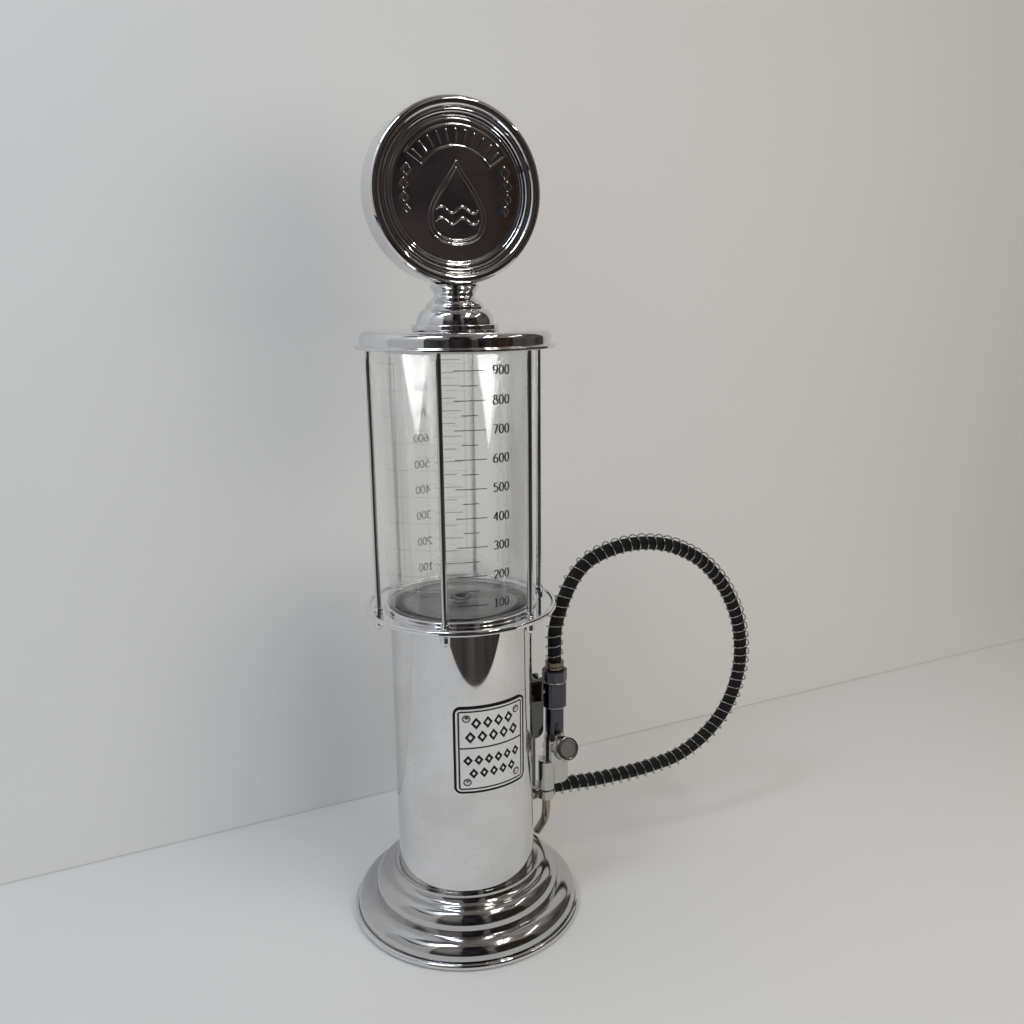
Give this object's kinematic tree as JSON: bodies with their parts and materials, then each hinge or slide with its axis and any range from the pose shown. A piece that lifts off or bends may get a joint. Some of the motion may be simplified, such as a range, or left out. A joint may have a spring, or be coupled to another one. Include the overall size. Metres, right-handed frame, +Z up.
{
  "type": "drink dispenser",
  "caption": "Chromed counter-top drink dispenser shaped like an old fuel pump: clear tank between rods, lift-off round sign as filler cap, and a push-button tap on a spring-wrapped hose.",
  "frame": {"origin": "middle of the underside, on the table", "axes": "+Z up; front with the sign's face and the label towards -Y; tap and hose on the +X side"},
  "size_m": [0.2957, 0.147, 0.4944],
  "materials": {
    "chrome": "polished",
    "steel": "bright drawn",
    "stainless": "warm satin",
    "dark_steel": "dark",
    "face": "pressed relief",
    "clear": "clear",
    "clear_seal": "milky",
    "tubing": "milky",
    "rubber": "black"
  },
  "bodies": {
    "pump": {"base_pad": "rubber", "base_plate": "chrome", "base_shell": "chrome", "base_screws": "steel", "body_tube": "chrome", "label_plate": "chrome", "label_rivets": "dark_steel", "tray": "chrome", "rod_1": "steel", "rod_2": "steel", "rod_3": "steel", "rod_4": "steel", "rod_5": "steel", "rod_6": "steel", "rod_collars": "chrome", "rod_washers": "chrome", "acorn_nuts": "chrome", "tank": "clear", "tank_gasket": "rubber", "lid_gasket": "clear_seal", "lid": "chrome", "drain_nipple": "steel", "drain_nut": "steel", "feed_tube": "tubing", "hose_outlet": "chrome", "outlet_nut": "steel", "outlet_ferrule": "chrome", "holster": "chrome", "holster_screws": "steel", "hose": "rubber", "hose_spring": "steel"},
    "cap": {"neck": "chrome", "cap_plug": "chrome", "cap_seal": "rubber", "neck_bolt": "steel", "neck_bolt_nut": "steel", "head_front": "chrome", "head_back": "chrome", "face_front": "face", "face_back": "face"},
    "nozzle": {"nozzle_ferrule": "chrome", "nozzle_nut": "chrome", "nozzle_sleeve": "chrome", "nozzle_barrel": "chrome", "hang_pin": "steel", "valve_body": "chrome", "valve_seat": "rubber", "valve_bonnet": "chrome", "bezel_ring": "chrome", "button_spring": "steel", "spout_nut": "chrome", "spout": "stainless"},
    "button": {"button_cap": "chrome", "plunger_stem": "steel", "plunger_seal": "rubber"}
  },
  "joints": [
    {"name": "cap_lift", "type": "slide", "parent": "pump", "child": "cap", "axis": [0, 0, 1], "range_m": [0, 0.05]},
    {"name": "nozzle_lift", "type": "slide", "parent": "pump", "child": "nozzle", "axis": [0, 0, 1], "range_m": [0, 0.015], "deforming": ["hose", "hose_spring"]},
    {"name": "button_press", "type": "slide", "parent": "nozzle", "child": "button", "axis": [0, 0.9397, -0.342], "range_m": [0, 0.0025], "stiffness_N_per_m": 400, "springref_m": -0.004, "deforming": ["button_spring"]}
  ]
}
